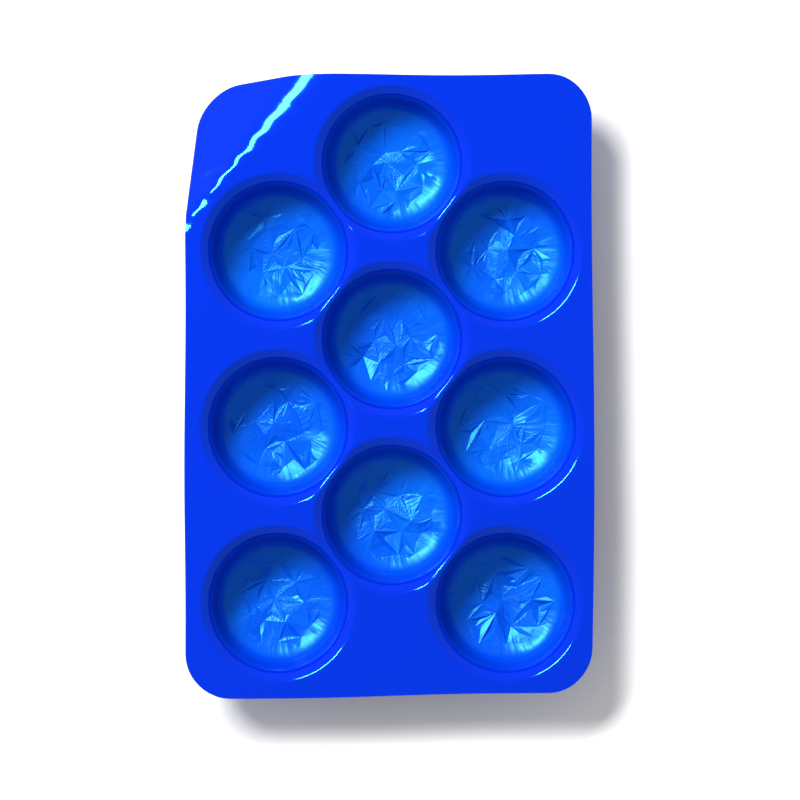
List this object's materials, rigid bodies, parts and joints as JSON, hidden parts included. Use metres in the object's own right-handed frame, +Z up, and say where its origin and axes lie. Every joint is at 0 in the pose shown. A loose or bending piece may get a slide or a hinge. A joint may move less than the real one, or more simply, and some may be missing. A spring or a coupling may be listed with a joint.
{
  "type": "thermoformed fruit packing tray",
  "caption": "Thin rectangular plastic liner tray with staggered round fruit pockets, sloping lips, pleated pocket floors and one corner bent down.",
  "frame": {"origin": "middle of the tray's outline, on the surface that the pockets stand on", "axes": "+X across the width, +Y along the length towards the bent corner's end, +Z up out of the pockets"},
  "size_m": [0.1968, 0.3003, 0.03],
  "materials": {
    "polypropylene_sheet": "glossy, deep blue on the flange and paler where the sheet is stretched thin"
  },
  "bodies": {
    "root": {"tray": "polypropylene_sheet"}
  },
  "joints": []
}
